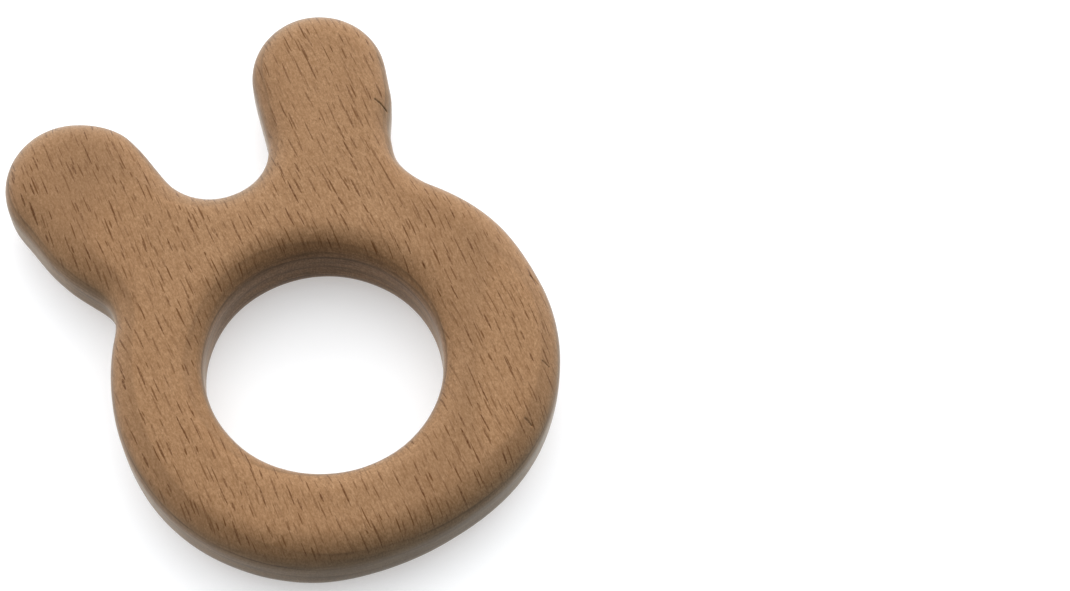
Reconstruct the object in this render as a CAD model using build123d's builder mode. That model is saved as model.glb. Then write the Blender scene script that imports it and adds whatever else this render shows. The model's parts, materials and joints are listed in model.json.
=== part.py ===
from build123d import *
from math import asin, atan2, cos, degrees, hypot, radians, sin, sqrt
import os

# A bunny-shaped teething ring: a round head with a finger hole and two round ears.
# It is one piece, cut from a beech board and rounded over on both faces. Millimetres.
#
# Frame: the origin is on the finger hole's axis, half way through the thickness.
# +Z is out of the front face, +Y is towards the ears, +X is towards the right ear.
# The outline is symmetrical about its own axis, and the hole is bored a little beside it.

# ---- driving dimensions ----
thickness = 12.5  # planed board
hole_radius = 16.0  # finger hole
hole_off_axis = 1.5  # the hole sits this far to the left of the outline's axis
head_width = 60.4  # across the cheeks
cheek_spacing = 7.0  # between the centres of the two cheek curves
chin_drop = 28.6  # the hole's centre down to the chin
chin_radius = 41.0  # flat curve under the chin
temple_radius = 32.0  # flat curve from the cheek up to the ear
temple_start = 3.0  # degrees above the widest point of the cheek
valley_rise = 28.7  # the hole's centre up to the valley between the ears
ear_length = 21.5  # the valley up to the ear tips
ear_spacing = 38.0  # between the centres of the two ear tips
ear_tip_radius = 9.6
ear_outer_lean = 18.6  # degrees from +Y, the outer side of an ear
ear_inner_lean = 14.4  # degrees from +Y, the inner side of an ear
neck_fillet = 6.3  # hollow where an ear meets the head
rim_round = 4.5  # rounding of the outline, on both faces
hole_round = 4.0  # rounding of the hole, on both faces
flat_share = 0.04  # least share of a wall or of the board that the roundings leave flat


def around(center, radius, angle):
    """The point at this radius and at this angle in degrees from a centre."""
    return center + Vector(radius * cos(radians(angle)), radius * sin(radians(angle)))


# ---- head: the chin, cheek and temple arcs run tangent into each other ----
cheek_radius = (head_width - cheek_spacing) / 2
chin_center = Vector(0, chin_radius - chin_drop)
chin_half_angle = degrees(asin(cheek_spacing / 2 / (chin_radius - cheek_radius)))
cheek_center = around(chin_center, chin_radius - cheek_radius, chin_half_angle - 90)
temple_center = around(cheek_center, cheek_radius - temple_radius, temple_start)

# ---- ear: a round tip between two straight sides that spread apart upwards ----
ear_center = Vector(ear_spacing / 2, valley_rise + ear_length - ear_tip_radius)
outer_side = -ear_outer_lean  # direction that the outer side faces
inner_side = 180 - ear_inner_lean  # direction that the inner side faces

# ---- neck: a fillet that touches the temple arc and the ear's outer side ----
side_guide = around(ear_center, ear_tip_radius + neck_fillet, outer_side)
side_up = around(Vector(0, 0), 1, outer_side + 90)
from_temple = side_guide - temple_center
along_side = from_temple.dot(side_up)
to_neck = along_side - sqrt(along_side**2 - from_temple.length**2 + (temple_radius + neck_fillet) ** 2)
neck_center = side_guide - side_up * to_neck
temple_to_neck = neck_center - temple_center
neck_angle = degrees(atan2(temple_to_neck.Y, temple_to_neck.X))

# ---- valley: an arc that touches the inner sides of both ears ----
inner_lean = radians(ear_inner_lean)
tip_above_valley = ear_center.Y - valley_rise
valley_reach = ear_center.X * cos(inner_lean) - tip_above_valley * sin(inner_lean) - ear_tip_radius
valley_radius = valley_reach / (1 - sin(inner_lean))
valley_center = Vector(0, valley_rise + valley_radius)

# ---- roundings: limited where the wall round the hole or the board is thin ----
hole_from_temple = hypot(temple_center.X - hole_off_axis, temple_center.Y)
thinnest_wall = min(
    chin_drop - hole_radius,
    valley_rise - hole_radius,
    head_width / 2 - hole_off_axis - hole_radius,
    temple_radius - hole_from_temple - hole_radius,
)
round_limit = (1 - flat_share) / 2 * min(thickness, thinnest_wall)

back_plane = Plane.XY.offset(-thickness / 2)
outline_plane = Plane((hole_off_axis, 0, -thickness / 2))

with BuildPart() as teether_ring:
    with BuildSketch(outline_plane):
        with BuildLine():
            CenterArc(chin_center, chin_radius, -90, chin_half_angle)
            CenterArc(cheek_center, cheek_radius, chin_half_angle - 90, 90 - chin_half_angle + temple_start)
            CenterArc(temple_center, temple_radius, temple_start, neck_angle - temple_start)
            CenterArc(neck_center, neck_fillet, neck_angle + 180, outer_side - neck_angle)
            Line(
                around(neck_center, neck_fillet, outer_side + 180),
                around(ear_center, ear_tip_radius, outer_side),
            )
            CenterArc(ear_center, ear_tip_radius, outer_side, inner_side - outer_side)
            Line(
                around(ear_center, ear_tip_radius, inner_side),
                around(valley_center, valley_radius, inner_side + 180),
            )
            CenterArc(valley_center, valley_radius, inner_side - 180, 90 - inner_side)
            mirror(about=Plane.YZ)
        make_face()
    extrude(amount=thickness)
    with BuildSketch(back_plane):
        Circle(hole_radius)
    extrude(amount=thickness, mode=Mode.SUBTRACT)

    flat_faces = teether_ring.faces().filter_by(Axis.Z)
    fillet([edge for face in flat_faces for edge in face.outer_wire().edges()], min(rim_round, round_limit))
    flat_faces = teether_ring.faces().filter_by(Axis.Z)
    fillet([edge for face in flat_faces for edge in face.inner_wires().edges()], min(hole_round, round_limit))
teether_ring.part.label = "teether_ring"

os.makedirs("parts", exist_ok=True)
export_step(teether_ring.part, "parts/teether_ring.step")
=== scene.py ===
"""A bunny-shaped wooden teething ring: one board of beech, routed, rounded over and sanded by hand."""
import json
import math

import bpy
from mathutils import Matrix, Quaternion, Vector

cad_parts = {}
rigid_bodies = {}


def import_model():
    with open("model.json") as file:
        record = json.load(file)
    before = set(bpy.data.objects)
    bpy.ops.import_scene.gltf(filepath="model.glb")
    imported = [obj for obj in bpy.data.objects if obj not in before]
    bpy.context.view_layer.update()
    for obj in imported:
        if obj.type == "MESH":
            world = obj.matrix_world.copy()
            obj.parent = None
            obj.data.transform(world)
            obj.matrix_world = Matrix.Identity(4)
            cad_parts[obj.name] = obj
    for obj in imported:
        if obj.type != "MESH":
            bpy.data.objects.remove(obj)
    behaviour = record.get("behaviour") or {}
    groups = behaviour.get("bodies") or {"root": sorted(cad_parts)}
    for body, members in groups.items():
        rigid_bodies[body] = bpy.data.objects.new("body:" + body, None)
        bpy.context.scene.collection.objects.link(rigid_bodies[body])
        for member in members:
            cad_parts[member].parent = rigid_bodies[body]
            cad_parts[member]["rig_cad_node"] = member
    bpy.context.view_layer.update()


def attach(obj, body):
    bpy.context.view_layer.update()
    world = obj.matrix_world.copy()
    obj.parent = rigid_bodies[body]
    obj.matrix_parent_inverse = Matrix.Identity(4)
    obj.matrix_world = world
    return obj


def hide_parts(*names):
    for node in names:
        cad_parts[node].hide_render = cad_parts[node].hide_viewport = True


MM = 0.001
RING = "teether_ring"

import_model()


# ---------------------------------------------------------------- bench helpers

def only(piece):
    """Selects one piece and nothing else."""
    bpy.ops.object.select_all(action="DESELECT")
    piece.select_set(True)
    bpy.context.view_layer.objects.active = piece


def finish_with(piece, kind, **settings):
    """Puts one modifier on a piece and applies it."""
    only(piece)
    tool = piece.modifiers.new(kind.lower(), kind)
    for name, value in settings.items():
        setattr(tool, name, value)
    bpy.ops.object.modifier_apply(modifier=tool.name)


# ---------------------------------------------------------------- the wooden ring, in mm

WELD = 0.001            # corners closer than this are one corner
FACET = 0.36            # side of the skin's small quads
SANDING_REACH = 11.0    # size of the soft hollows that hand sanding leaves
SANDING_DEPTH = 0.20
SPOT = 1.0              # the wall within this of a worked spot moves fully
CHECK_WIDTH = 0.20
NOWHERE = 9.0           # a distance that is too far from any check

# where the wall was sanded away or left proud: the spot, its push and its reach
HAND_WORK = (
    ((25.4, 25.6), (-1.25, 0.25), 7.0),
    ((-24.6, 29.8), (-0.95, -0.40), 9.0),
    ((-7.6, 42.2), (0.60, 0.25), 8.0),
    ((29.4, 9.5), (0.42, 0.12), 12.0),
    ((30.0, 47.3), (0.15, 0.25), 7.0),
)

# short drying checks at the rounded edge: start, end and depth
CHECKS = (
    ((24.72, 31.50, 5.72), (25.73, 29.89, 3.75), 0.24),
    ((30.11, -2.80, 5.07), (30.55, -4.27, 4.50), 0.20),
    ((25.02, -14.99, 5.69), (25.43, -15.92, 5.13), 0.15),
    ((18.77, -21.01, 5.87), (19.18, -22.19, 5.15), 0.18),
)


def routed_blank():
    """A copy of the routed shape, its loose triangles joined into one skin of even small quads."""
    only(bpy.data.objects[RING])
    bpy.ops.object.duplicate()
    blank = bpy.context.view_layer.objects.active
    blank.name = "bunny_ring"
    blank.data.name = "bunny_ring"
    if "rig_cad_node" in blank:
        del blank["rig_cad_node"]
    only(blank)
    bpy.ops.object.mode_set(mode="EDIT")
    bpy.ops.mesh.select_all(action="SELECT")
    bpy.ops.mesh.remove_doubles(threshold=WELD * MM)
    bpy.ops.object.mode_set(mode="OBJECT")
    finish_with(blank, "REMESH", mode="VOXEL", voxel_size=FACET * MM, use_smooth_shade=True)
    finish_with(blank, "SMOOTH", factor=0.5, iterations=20)
    return blank


def pick(blank, wanted):
    """Selects the points of the skin that the test wants, and opens it for editing."""
    only(blank)
    bpy.ops.object.mode_set(mode="EDIT")
    bpy.ops.mesh.select_mode(type="VERT")
    bpy.ops.mesh.select_all(action="DESELECT")
    bpy.ops.object.mode_set(mode="OBJECT")
    for point in blank.data.vertices:
        if wanted(point.co / MM):
            point.select = True
    bpy.ops.object.mode_set(mode="EDIT")


def rasp(blank, spot, push, reach):
    """Moves the wall sideways round one spot, easing out over its reach."""
    centre = Vector(spot)
    pick(blank, lambda at: (at.xy - centre).length < SPOT)
    bpy.ops.transform.translate(
        value=(push[0] * MM, push[1] * MM, 0.0), use_proportional_edit=True,
        proportional_edit_falloff="SMOOTH", proportional_size=reach * MM)
    bpy.ops.object.mode_set(mode="OBJECT")


def drying_check(blank, start, end, depth):
    """A short check: finer facets round its line, then a narrow row of points pushed in."""
    first, last = Vector(start), Vector(end)
    run, middle = last - first, (first + last) / 2
    skin = min(blank.data.vertices, key=lambda point: (point.co / MM - middle).length)
    across = run.cross(skin.normal).normalized()

    def off_line(at):
        step = at - first
        share = step.dot(run) / run.length_squared
        beyond = max(-share, share - 1.0, 0.0) * run.length
        far = NOWHERE if (at - middle).length > run.length else 0.0
        return max(abs(step.dot(across)), beyond, far)

    pick(blank, lambda at: off_line(at) < 3.0 * CHECK_WIDTH)
    bpy.ops.mesh.subdivide(number_cuts=3)
    bpy.ops.object.mode_set(mode="OBJECT")
    pick(blank, lambda at: off_line(at) < 0.25 * CHECK_WIDTH)
    bpy.ops.transform.shrink_fatten(
        value=-depth * MM, use_proportional_edit=True,
        proportional_edit_falloff="SHARP", proportional_size=CHECK_WIDTH * MM)
    bpy.ops.object.mode_set(mode="OBJECT")


def shape_by_hand(blank):
    """The ears are not quite alike, the faces are softly uneven, and the edge has a few checks."""
    for spot, push, reach in HAND_WORK:
        rasp(blank, spot, push, reach)
    sanding = bpy.data.textures.new("sanding", "CLOUDS")
    sanding.noise_scale = SANDING_REACH * MM
    sanding.noise_depth = 1
    finish_with(blank, "DISPLACE", texture=sanding, texture_coords="LOCAL",
                strength=SANDING_DEPTH * MM, mid_level=0.5)
    for start, end, depth in CHECKS:
        drying_check(blank, start, end, depth)


# ---------------------------------------------------------------- beech

GRAIN_SLANT = math.radians(5.0)     # the fibres run from the chin to the ears, leaning by this
LAYER = 2.5                         # one year's growth, in mm
LAYER_START = 20.0                  # a depth below the board, so that no layer has a negative one
RELIEF = 0.055                      # how deep the fibres and flecks are, in mm

WHITE_BEECH = (0.345, 0.202, 0.104, 1.0)
ROSY_BEECH = (0.306, 0.172, 0.085, 1.0)
FIBRE = (0.205, 0.102, 0.042, 1.0)
PORE = (0.185, 0.092, 0.037, 1.0)
LATE_WOOD = (0.120, 0.062, 0.028, 1.0)
FAINT_FLECK = (0.105, 0.042, 0.013, 1.0)
BROWN_FLECK = (0.092, 0.032, 0.005, 1.0)
BOLD_FLECK = (0.074, 0.022, 0.002, 1.0)
# end-grain tones, darker and greyer than the faces: the chin's holds painted shade, the ears' painted
# light that makes it paler
CHIN_END_GRAIN_AND_SHADE = (0.078, 0.055, 0.029, 1.0)
EAR_END_GRAIN_AND_LIGHT = (0.196, 0.166, 0.124, 1.0)
# sanding dust on the walls, darkened with painted shade
DUST_AND_SHADE_WALL = (0.108, 0.076, 0.038, 1.0)
THIN_LINE = (0.052, 0.031, 0.015, 1.0)
END_PORE = (0.040, 0.026, 0.012, 1.0)
GROWTH_LINE = (0.046, 0.026, 0.012, 1.0)
SHEEN = (1.0, 0.98, 0.91, 1.0)


class Bench:
    """Small helper that lays out shader nodes."""

    def __init__(self, tree):
        self.tree = tree

    def add(self, kind, **settings):
        made = self.tree.nodes.new(kind)
        for name, value in settings.items():
            setattr(made, name, value)
        return made

    def join(self, socket, value):
        if isinstance(value, bpy.types.NodeSocket):
            self.tree.links.new(value, socket)
        else:
            socket.default_value = value

    def math(self, operation, a, b=None):
        made = self.add("ShaderNodeMath", operation=operation)
        for socket, value in zip(made.inputs, (a, b)):
            if value is not None:
                self.join(socket, value)
        return made.outputs[0]

    def plus(self, a, b):
        return self.math("ADD", a, b)

    def times(self, a, b):
        return self.math("MULTIPLY", a, b)

    def vector(self, operation, a, b):
        made = self.add("ShaderNodeVectorMath", operation=operation)
        self.join(made.inputs[0], a)
        self.join(made.inputs[1], b)
        return made.outputs[0]

    def facing(self, a, direction):
        """How much a vector points the way of a direction, from -1 to 1."""
        made = self.add("ShaderNodeVectorMath", operation="DOT_PRODUCT")
        self.join(made.inputs[0], a)
        self.join(made.inputs[1], direction)
        return made.outputs["Value"]

    def ramp(self, value, lo, hi, to_lo=0.0, to_hi=1.0, smooth=False):
        made = self.add("ShaderNodeMapRange")
        made.interpolation_type = "SMOOTHSTEP" if smooth else "LINEAR"
        for socket, given in zip(made.inputs, (value, lo, hi, to_lo, to_hi)):
            self.join(socket, given)
        return made.outputs[0]

    def noise(self, grain, per_mm, detail=2.0, rough=0.5):
        """Soft random spots, this many to the mm across, along and through the board."""
        made = self.add("ShaderNodeTexNoise")
        self.join(made.inputs["Vector"], self.vector("MULTIPLY", grain, per_mm))
        made.inputs["Scale"].default_value = 1.0
        made.inputs["Detail"].default_value = detail
        made.inputs["Roughness"].default_value = rough
        return made.outputs[0]

    def wander(self, noise, reach):
        """A noise turned into a distance, to either side."""
        return self.times(self.math("SUBTRACT", noise, 0.5), reach)

    def mix(self, share, a, b):
        made = self.add("ShaderNodeMix", data_type="RGBA", blend_type="MIX")
        self.join(made.inputs[0], share)
        self.join(made.inputs[6], a)
        self.join(made.inputs[7], b)
        return made.outputs[2]

    def parts(self, vector):
        made = self.add("ShaderNodeSeparateXYZ")
        self.join(made.inputs[0], vector)
        return made.outputs

    def gather(self, x, y, z):
        made = self.add("ShaderNodeCombineXYZ")
        for socket, value in zip(made.inputs, (x, y, z)):
            self.join(socket, value)
        return made.outputs[0]


def wood_grain(bench, place):
    """Places in the board, in mm: across, along and through. The grain wanders a little."""
    turned = bench.add("ShaderNodeMapping")
    bench.join(turned.inputs["Vector"], place.outputs["Object"])
    turned.inputs["Rotation"].default_value = (0.0, 0.0, GRAIN_SLANT)
    turned.inputs["Scale"].default_value = (1 / MM, 1 / MM, 1 / MM)
    board = turned.outputs[0]
    drift = bench.noise(board, (0.05, 0.03, 0.05))
    wiggle = bench.noise(board, (0.9, 0.5, 0.3), 1.0)
    across, along, through = bench.parts(board)
    across = bench.plus(across, bench.wander(drift, 3.0))
    across = bench.plus(across, bench.wander(wiggle, 0.12))
    return bench.gather(across, along, through)


def ray_flecks(bench, grain, cell, length, width, shift, faintest):
    """Spindle-shaped cuts through the wood's rays: one in each cell, all sizes in mm."""
    shifted = bench.vector("ADD", grain, shift)
    spaced = bench.vector("MULTIPLY", shifted, [1 / side for side in cell])
    cells = bench.add("ShaderNodeTexVoronoi", voronoi_dimensions="3D", feature="F1")
    cells.inputs["Scale"].default_value = 1.0
    cells.inputs["Randomness"].default_value = 0.9
    bench.join(cells.inputs["Vector"], spaced)
    away = bench.parts(bench.vector("SUBTRACT", spaced, cells.outputs["Position"]))
    chance = bench.parts(cells.outputs["Color"])
    half_length = bench.ramp(chance[0], 0, 1, length[0] / 2 / cell[1], length[1] / 2 / cell[1])
    half_width = bench.ramp(chance[1], 0, 1, width[0] / 2 / cell[0], width[1] / 2 / cell[0])
    along = bench.math("DIVIDE", away[1], half_length)
    taper = bench.math("SUBTRACT", 1.0, bench.times(along, along))
    taper = bench.math("POWER", bench.math("MAXIMUM", taper, 0.0001), 0.7)
    across = bench.math("DIVIDE", bench.math("ABSOLUTE", away[0]), bench.times(half_width, taper))
    inside = bench.ramp(across, 1.15, 0.75, smooth=True)
    return bench.times(inside, bench.ramp(chance[2], 0, 1, faintest, 1.0))


def three_sizes_of_fleck(bench, grain, flat):
    """Bold, brown and faint flecks. They show on the faces, and hardly on the walls."""
    bold = ray_flecks(bench, grain, cell=(1.6, 3.6, 9.0), length=(1.3, 4.5), width=(0.16, 0.31),
                      shift=(0.0, 0.0, 0.0), faintest=0.30)
    brown = ray_flecks(bench, grain, cell=(1.4, 3.2, 7.0), length=(1.0, 3.5), width=(0.14, 0.26),
                       shift=(37.3, 11.9, 5.1), faintest=0.0)
    faint = ray_flecks(bench, grain, cell=(0.7, 1.8, 5.0), length=(0.7, 2.1), width=(0.12, 0.21),
                       shift=(71.7, 53.3, 9.7), faintest=0.0)
    broken = bench.noise(grain, (3.0, 2.2, 1.5), 1.0)
    bold = bench.times(bold, bench.ramp(broken, 0.3, 0.65, 0.45, 1.0))
    shown = bench.ramp(flat, 0.2, 0.75, 0.07, 1.0, smooth=True)
    return [bench.times(size, shown) for size in (bold, brown, faint)]


def growth_layers(bench, grain, flat):
    """Growth layers lie almost flat in the board, so only the walls show their dark ends as lines."""
    across, along, through = bench.parts(grain)
    sway = bench.noise(grain, (0.04, 0.02, 0.02), 1.0)
    height = bench.plus(through, bench.wander(sway, 1.6))
    height = bench.plus(height, bench.times(across, 0.045))
    height = bench.plus(height, bench.times(along, -0.02))
    layer = bench.math("FRACT", bench.times(bench.plus(height, LAYER_START), 1 / LAYER))
    winter = bench.ramp(layer, 1.0, 0.95)
    line = bench.times(bench.ramp(layer, 0.80, 0.94, smooth=True), winter)
    late = bench.times(bench.ramp(layer, 0.50, 0.90, smooth=True), winter)
    patchy = bench.noise(grain, (0.12, 0.10, 0.5), 1.0)
    line = bench.times(line, bench.ramp(patchy, 0.38, 0.62, 0.35, 1.0))
    line = bench.times(line, bench.ramp(flat, 0.35, 0.9, 1.0, 0.08))
    return line, late


def away_from_lit_hole(bench, grain):
    """Less than 1 in the finger hole, whose wall is kept lighter and warmer with painted light."""
    across, along, _ = bench.parts(grain)
    from_middle = bench.add("ShaderNodeVectorMath", operation="LENGTH")
    bench.join(from_middle.inputs[0], bench.gather(across, along, 0.0))
    return bench.ramp(from_middle.outputs["Value"], 17.5, 20.5, 0.36, 1.0, smooth=True)


def wall_tone(bench, tone, grain, flat, to_ears, speck, line):
    """The walls' colour: end grain, dust of the sanding, thin lines, pores and growth lines, with
    painted shade at the chin and on the dusty walls, and painted light at the ears and in the finger
    hole.
    """
    # the fibres lean, so the end grain shows at the chin and the ears: it drinks light, and its tone
    # holds painted shade at the chin and painted light at the ears
    end = bench.times(to_ears, to_ears)
    lit_ear_side = bench.ramp(to_ears, -0.2, 0.2, smooth=True)
    end_grain_light_and_shade = bench.mix(lit_ear_side, CHIN_END_GRAIN_AND_SHADE, EAR_END_GRAIN_AND_LIGHT)
    # the finger hole's walls get less of the end-grain and dust tones: painted light
    outer = away_from_lit_hole(bench, grain)
    share = bench.times(outer, bench.ramp(lit_ear_side, 0, 1, 0.68, 0.58))
    tone = bench.mix(bench.times(end, share), tone, end_grain_light_and_shade)
    wall = bench.ramp(flat, 0.75, 0.25, smooth=True)
    # walls that face away from the ears are darker and greyer: sanding dust and painted shade
    dust_and_shade = bench.times(wall, bench.ramp(to_ears, 0.5, -0.1, 0.0, 0.32, smooth=True))
    tone = bench.mix(bench.times(dust_and_shade, outer), tone, DUST_AND_SHADE_WALL)
    thin = bench.noise(grain, (0.16, 0.16, 2.6), 2.0, 0.6)
    tone = bench.mix(bench.times(wall, bench.ramp(thin, 0.44, 0.66, 0.0, 0.46)), tone, THIN_LINE)
    tone = bench.mix(bench.times(end, bench.ramp(speck, 0.40, 0.68, 0.0, 0.40)), tone, END_PORE)
    return bench.mix(bench.times(line, 0.62), tone, GROWTH_LINE)


def beech():
    """Steamed beech, cut flat: dark ray flecks on the faces, growth lines round the walls."""
    wood = bpy.data.materials.new("beech_sanded")
    wood.use_nodes = True
    tree = wood.node_tree
    tree.nodes.clear()
    bench = Bench(tree)
    place = bench.add("ShaderNodeTexCoord")
    grain = wood_grain(bench, place)

    # flat is 1 on the faces and 0 on the walls; to_ears is 1 or -1 where the fibres are cut across
    flat = bench.math("ABSOLUTE", bench.parts(place.outputs["Normal"])[2])
    fibres = (math.sin(GRAIN_SLANT), math.cos(GRAIN_SLANT), 0.0)
    to_ears = bench.facing(place.outputs["Normal"], fibres)

    bold, brown, faint = three_sizes_of_fleck(bench, grain, flat)
    streak = bench.noise(grain, (3.2, 1.1, 1.4), 3.0, 0.75)
    speck = bench.noise(grain, (4.8, 2.8, 3.0), 2.0, 0.7)
    broad = bench.noise(grain, (0.09, 0.025, 0.2))
    line, late = growth_layers(bench, grain, flat)

    tone = bench.mix(bench.ramp(broad, 0.3, 0.7), WHITE_BEECH, ROSY_BEECH)
    tone = bench.mix(bench.ramp(streak, 0.32, 0.68, 0.0, 0.80), tone, FIBRE)
    tone = bench.mix(bench.ramp(speck, 0.38, 0.72, 0.0, 0.86), tone, PORE)
    tone = bench.mix(bench.times(late, 0.18), tone, LATE_WOOD)
    tone = bench.mix(bench.times(faint, 0.30), tone, FAINT_FLECK)
    tone = bench.mix(bench.times(brown, 0.90), tone, BROWN_FLECK)
    tone = bench.mix(bench.times(bold, 0.97), tone, BOLD_FLECK)
    tone = wall_tone(bench, tone, grain, flat, to_ears, speck, line)

    # flecks are sunk, and the fibres stand a little proud
    relief = bench.times(bold, -0.7)
    relief = bench.plus(relief, bench.times(brown, -0.4))
    relief = bench.plus(relief, bench.times(streak, 0.5))
    bump = bench.add("ShaderNodeBump")
    bump.inputs["Strength"].default_value = 0.5
    bump.inputs["Distance"].default_value = RELIEF * MM
    bench.join(bump.inputs["Height"], relief)

    skin = bench.add("ShaderNodeBsdfPrincipled")
    bench.join(skin.inputs["Base Color"], tone)
    bench.join(skin.inputs["Roughness"], bench.ramp(streak, 0.2, 0.8, 0.55, 0.68))
    skin.inputs["IOR"].default_value = 1.45
    skin.inputs["Specular IOR Level"].default_value = 0.14
    skin.inputs["Sheen Weight"].default_value = 0.42
    skin.inputs["Sheen Roughness"].default_value = 0.32
    skin.inputs["Sheen Tint"].default_value = SHEEN
    bench.join(skin.inputs["Normal"], bump.outputs[0])
    out = bench.add("ShaderNodeOutputMaterial")
    tree.links.new(skin.outputs[0], out.inputs[0])
    return wood


# ---------------------------------------------------------------- floor, light, camera

FLOOR_SIDE = 6.0                    # in metres
COVE_WAY = (0.423, 0.906, 0.0)      # towards the white cove, behind the ears
COVE_GLOW = 1.80
DIM_GLOW = 0.11
BACKDROP = 1.02                     # how bright the air looks when seen straight on
AIR = (0.96, 0.99, 1.03, 1.0)
SOFTBOX_DISTANCE = 1.2              # in metres

CAMERA_AIM = (32.44, -1.19, -6.25)  # in mm
CAMERA_DISTANCE = 303.06            # in mm
CAMERA_AZIMUTH = 35.41              # in degrees, as the next two
CAMERA_ELEVATION = 63.36
CAMERA_ROLL = 5.90


def floor(height):
    """A pale glowing table, so that the ring's shadow stays soft."""
    bpy.ops.object.select_all(action="DESELECT")
    bpy.ops.mesh.primitive_plane_add(size=FLOOR_SIDE, location=(0.0, 0.0, height))
    sheet = bpy.context.active_object
    sheet.name = "studio_floor"
    only(sheet)
    bpy.ops.object.transform_apply(location=True, rotation=True, scale=True)
    paint = bpy.data.materials.new("studio_white")
    paint.use_nodes = True
    skin = paint.node_tree.nodes["Principled BSDF"]
    skin.inputs["Base Color"].default_value = (0.62, 0.62, 0.62, 1.0)
    skin.inputs["Emission Color"].default_value = (1.0, 1.0, 1.0, 1.0)
    skin.inputs["Emission Strength"].default_value = 0.42
    skin.inputs["Roughness"].default_value = 0.9
    skin.inputs["Specular IOR Level"].default_value = 0.0
    sheet.data.materials.append(paint)


def softbox(name, azimuth, elevation, size, power, colour):
    """A square softbox that faces the ring; azimuth 0 is behind the ears, and 90 is to their right."""
    a, e = math.radians(azimuth), math.radians(elevation)
    way = Vector((math.sin(a) * math.cos(e), math.cos(a) * math.cos(e), math.sin(e)))
    lamp = bpy.data.lights.new(name, "AREA")
    lamp.size = size
    lamp.energy = power
    lamp.color = colour
    holder = bpy.data.objects.new(name, lamp)
    holder.location = way * SOFTBOX_DISTANCE
    holder.rotation_mode = "QUATERNION"
    holder.rotation_quaternion = way.to_track_quat("Z", "Y")
    bpy.context.collection.objects.link(holder)


def studio():
    """A white cove behind the ring, a dim room on the near side, and soft light from above."""
    world = bpy.data.worlds.new("studio_air")
    world.use_nodes = True
    bench = Bench(world.node_tree)
    air = world.node_tree.nodes["Background"]
    way = bench.add("ShaderNodeTexCoord")
    to_cove = bench.facing(way.outputs["Generated"], COVE_WAY)
    glow = bench.ramp(to_cove, -0.55, 0.10, DIM_GLOW, COVE_GLOW, smooth=True)
    seen = bench.add("ShaderNodeLightPath")
    strength = bench.ramp(seen.outputs["Is Camera Ray"], 0.0, 1.0, glow, BACKDROP)
    bench.join(air.inputs["Strength"], strength)
    air.inputs["Color"].default_value = AIR
    bpy.context.scene.world = world
    softbox("right", 72.0, 25.0, size=0.7, power=4.4, colour=(0.97, 1.0, 1.0))
    softbox("left", -35.0, 25.0, size=0.7, power=2.0, colour=(0.97, 1.0, 1.0))
    softbox("back", 15.0, 26.0, size=0.9, power=4.2, colour=(0.98, 0.99, 1.0))
    softbox("top", 30.0, 66.0, size=0.9, power=2.1, colour=(1.0, 0.955, 0.90))
    bpy.context.scene.view_settings.view_transform = "Standard"


def camera():
    """A short portrait lens that looks down at the ring from beyond its chin, turned a little."""
    azimuth, elevation = math.radians(CAMERA_AZIMUTH), math.radians(CAMERA_ELEVATION)
    back = Vector((-math.sin(azimuth) * math.cos(elevation),
                   -math.cos(azimuth) * math.cos(elevation),
                   math.sin(elevation)))
    roll = Quaternion((0.0, 0.0, 1.0), math.radians(CAMERA_ROLL))
    lens = bpy.data.cameras.new("camera")
    lens.sensor_width = 36.0
    lens.lens = 72.3
    lens.clip_start = 0.01
    eye = bpy.data.objects.new("camera", lens)
    eye.location = (Vector(CAMERA_AIM) + back * CAMERA_DISTANCE) * MM
    eye.rotation_mode = "QUATERNION"
    eye.rotation_quaternion = back.to_track_quat("Z", "Y") @ roll
    bpy.context.collection.objects.link(eye)
    bpy.context.scene.camera = eye


ring = routed_blank()
shape_by_hand(ring)
ring.data.materials.clear()
ring.data.materials.append(beech())
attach(ring, "root")
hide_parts(RING)

floor(min(point.co.z for point in ring.data.vertices))
studio()
camera()
